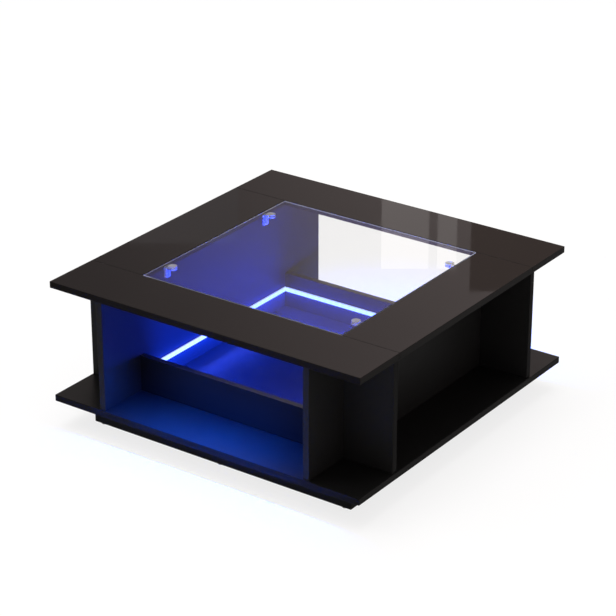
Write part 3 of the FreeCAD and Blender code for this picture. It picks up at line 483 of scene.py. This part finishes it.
def dress_fittings():
    """The fasteners, corner blocks and glides."""
    zinc_plate = plated("zinc_plate", (0.5, 0.5, 0.48), (0.66, 0.66, 0.64), roughness=(0.22, 0.4))
    dress(["base_screws", "plinth_screws", "controller_screws", "cam_bolts", "power_inlet"], zinc_plate)
    zinc_cast = plated("zinc_cast", (0.45, 0.45, 0.45), (0.58, 0.58, 0.58), roughness=(0.34, 0.52))
    dress(["cam_locks"], zinc_cast)
    dress(["cam_caps"], moulded("cap_black", (0.013, 0.013, 0.013), (0.02, 0.02, 0.02), rough=0.42))
    dress(named("_dowels"), raw_wood("beech", (0.5, 0.33, 0.18), (0.68, 0.5, 0.31)))
    dress(["plinth_corner_blocks"], raw_wood("pine", (0.55, 0.37, 0.19), (0.74, 0.56, 0.35)))
    dress(["floor_glides"], moulded("glide_grey", (0.2, 0.2, 0.2), (0.28, 0.28, 0.28), rough=0.5))


# Studio
def sweep_material():
    """White floor and backdrop that still show the table's shadow."""
    paint = Paint("studio_white")
    paint.set(Base_Color=(FLOOR_ALBEDO, FLOOR_ALBEDO, FLOOR_ALBEDO, 1.0))
    paint.set(Roughness=FLOOR_ROUGHNESS, Specular_IOR_Level=FLOOR_SHINE)
    white = paint.node("Emission", {"Strength": 1.0})
    path = paint.node("LightPath").outputs
    seen = paint.math("MAXIMUM", path["Is Camera Ray"], path["Is Glossy Ray"])
    seen = paint.math("MAXIMUM", seen, path["Is Transmission Ray"])
    both = paint.node("MixShader", {"Fac": paint.math("MULTIPLY", seen, BACKGROUND_SHARE)})
    paint.feed(both.inputs[1], paint.shader.outputs["BSDF"])
    paint.feed(both.inputs[2], white.outputs["Emission"])
    paint.feed(paint.tree.nodes["Material Output"].inputs["Surface"], both.outputs["Shader"])
    return paint.material


def build_sweep():
    """A round floor whose rim curves up into a low backdrop."""
    steps = range(1, SWEEP_STEPS + 1)
    floor = [(FLOOR_RADIUS * step / SWEEP_STEPS, 0.0) for step in steps]
    bends = [0.5 * math.pi * step / SWEEP_STEPS for step in steps]
    rim = [
        (FLOOR_RADIUS + SWEEP_RADIUS * math.sin(bend), SWEEP_RADIUS * (1.0 - math.cos(bend)))
        for bend in bends]
    turns = [math.tau * part / SWEEP_SEGMENTS for part in range(SWEEP_SEGMENTS)]
    spokes = [(math.cos(turn), math.sin(turn)) for turn in turns]
    shell = bmesh.new()
    centre = shell.verts.new((0.0, 0.0, -FLOOR_DROP))
    rings = [
        [shell.verts.new((radius * x, radius * y, height - FLOOR_DROP)) for x, y in spokes]
        for radius, height in floor + rim]
    for part in range(SWEEP_SEGMENTS):
        beside = (part + 1) % SWEEP_SEGMENTS
        shell.faces.new((centre, rings[0][part], rings[0][beside]))
        for inner, outer in zip(rings, rings[1:]):
            shell.faces.new((inner[part], outer[part], outer[beside], inner[beside]))
    mesh = bpy.data.meshes.new("studio_sweep")
    shell.to_mesh(mesh)
    shell.free()
    mesh.polygons.foreach_set("use_smooth", [True] * len(mesh.polygons))
    mesh.materials.append(sweep_material())
    sweep = bpy.data.objects.new("studio_sweep", mesh)
    bpy.context.scene.collection.objects.link(sweep)


def camera_axes():
    """The camera's right, up and backward directions."""
    level = math.cos(CAMERA_ELEVATION)
    back = Vector((
        math.sin(CAMERA_AZIMUTH) * level, -math.cos(CAMERA_AZIMUTH) * level, math.sin(CAMERA_ELEVATION)))
    right = Vector((math.cos(CAMERA_AZIMUTH), math.sin(CAMERA_AZIMUTH), 0.0))
    return right, back.cross(right), back


def build_world():
    """Soft grey surroundings, lighter on the camera's right, with far panels and a bright ceiling."""
    world = bpy.data.worlds.new("studio")
    bpy.context.scene.world = world
    world.use_nodes = True
    sky = Tree(world.node_tree)
    heading = sky.coords["Generated"]
    rightward = camera_axes()[0]
    across = sky.dot(heading, rightward)
    away = sky.dot(heading, Vector((-rightward.y, rightward.x, 0.0)))
    up = sky.parts(heading)["Z"]
    colour = sky.mix(sky.ramp(across, WORLD_TURN, kind="SMOOTHSTEP"), WORLD_DARK, WORLD_LIGHT)
    forward = sky.math("MAXIMUM", away, LEAST_FORWARD)
    side_slope = sky.math("DIVIDE", across, forward)
    rise_slope = sky.math("DIVIDE", up, forward)
    for (left, right, bottom, top), panel_colour in PANELS:
        inside = sky.math("GREATER_THAN", away, PANEL_FORWARD)
        for slope, low, high in ((side_slope, left, right), (rise_slope, bottom, top)):
            above = sky.math("GREATER_THAN", slope, low)
            below = sky.math("LESS_THAN", slope, high)
            inside = sky.math("MULTIPLY", inside, sky.math("MULTIPLY", above, below))
        colour = sky.mix(inside, colour, panel_colour)
    colour = sky.mix(sky.ramp(up, CEILING_RISE, kind="SMOOTHSTEP"), colour, CEILING)
    sky.feed(world.node_tree.nodes["Background"].inputs["Color"], colour)


def aimed(direction):
    """The turn that points a lamp in a direction."""
    return direction.to_track_quat("-Z", "Y").to_matrix().to_4x4()


def hide_from_shine(holder):
    """Keeps a lamp out of mirrors and glass."""
    holder.visible_glossy = False
    holder.visible_transmission = False


def area_lamp(name, placement, wide, tall, power, colour=(1.0, 1.0, 1.0), spread=math.pi):
    """A rectangular lamp that the camera doesn't show, placed by a matrix."""
    lamp = bpy.data.lights.new(name, "AREA")
    lamp.shape = "RECTANGLE"
    lamp.size = wide
    lamp.size_y = tall
    lamp.energy = power
    lamp.color = colour
    lamp.spread = spread
    holder = bpy.data.objects.new(name, lamp)
    holder.matrix_world = placement
    holder.visible_camera = False
    bpy.context.scene.collection.objects.link(holder)
    return holder


def build_lights():
    """A softbox on the left in front, and a broad sun overhead that the gloss and glass don't show."""
    placement = Matrix.Translation(SOFTBOX_PLACE) @ aimed(SOFTBOX_TARGET - SOFTBOX_PLACE)
    area_lamp("front_softbox", placement, SOFTBOX_SIDE, SOFTBOX_SIDE, SOFTBOX_POWER)
    overhead = bpy.data.lights.new("overhead", "SUN")
    overhead.energy = OVERHEAD_STRENGTH
    overhead.angle = OVERHEAD_ANGLE
    holder = bpy.data.objects.new("overhead", overhead)
    holder.matrix_world = aimed(OVERHEAD_AIM)
    hide_from_shine(holder)
    bpy.context.scene.collection.objects.link(holder)


def strip_glow(name, strip, gap, out, aim, power, colour, spread=math.pi, share=1.0):
    """The light of a strip, from a thin unseen lamp along a share of it that stands off it by a gap."""
    low, high = (Vector(corner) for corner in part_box(strip))
    size = high - low
    out = Vector(out)
    place = (low + high) / 2.0 + out * (abs(size.dot(out)) / 2.0 + gap)
    long_axis = Vector((1.0, 0.0, 0.0)) if size.x > size.y else Vector((0.0, 1.0, 0.0))
    aim = Vector(aim).normalized()
    turn = Matrix((long_axis, (-aim).cross(long_axis), -aim)).transposed().to_4x4()
    length = share * max(size.x, size.y)
    lamp = area_lamp(name, Matrix.Translation(place) @ turn, length, GLOW_WIDTH, power, colour, spread)
    hide_from_shine(lamp)
    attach(lamp, "table")


def build_glow():
    """The light that the well's strips throw at their walls, across and down, and the canopies' light."""
    walls = (("left", (1, 0, 0)), ("right", (-1, 0, 0)), ("front", (0, 1, 0)), ("back", (0, -1, 0)))
    for wall, out in walls:
        strip = f"well_{wall}_strip_diffuser"
        wallward = -Vector(out)
        upward = (*out[:2], FILL_RISE)
        downward = (FLOOR_WASH_LEAN * out[0], FLOOR_WASH_LEAN * out[1], -1.0)
        strip_glow(f"{wall}_wall_wash", strip, WASH_GAP, out, wallward, WALL_WASH_POWER, WELL_GLOW)
        strip_glow(
            f"{wall}_well_fill", strip, FILL_GAP, out, upward, WELL_FILL_POWER, WELL_GLOW,
            share=FILL_SHARE)
        strip_glow(f"{wall}_floor_wash", strip, WASH_GAP, out, downward, FLOOR_WASH_POWER, WELL_GLOW)
    for side, outward in (("front", -1.0), ("back", 1.0)):
        strip_glow(
            f"{side}_canopy_light", f"canopy_{side}_strip_diffuser", WASH_GAP, (0, 0, -1),
            (0, outward * CANOPY_LEAN, -1), CANOPY_POWER, CANOPY_GLOW, CANOPY_SPREAD, CANOPY_SHARE)


def build_camera():
    """A camera with the photograph's place, turn and field of view."""
    lens = bpy.data.cameras.new("camera")
    lens.sensor_width = SENSOR_MM
    lens.lens = FOCAL_PIXELS * SENSOR_MM / IMAGE_PIXELS
    camera = bpy.data.objects.new("camera", lens)
    turn = Matrix(camera_axes()).transposed().to_4x4()
    camera.matrix_world = Matrix.Translation(CAMERA_PLACE) @ turn
    bpy.context.scene.collection.objects.link(camera)
    bpy.context.scene.camera = camera


dress_boards()
dress_lid()
dress_strips()
dress_controller()
dress_fittings()
build_sweep()
build_world()
build_lights()
build_glow()
build_camera()
bpy.context.scene.view_settings.view_transform = "Standard"
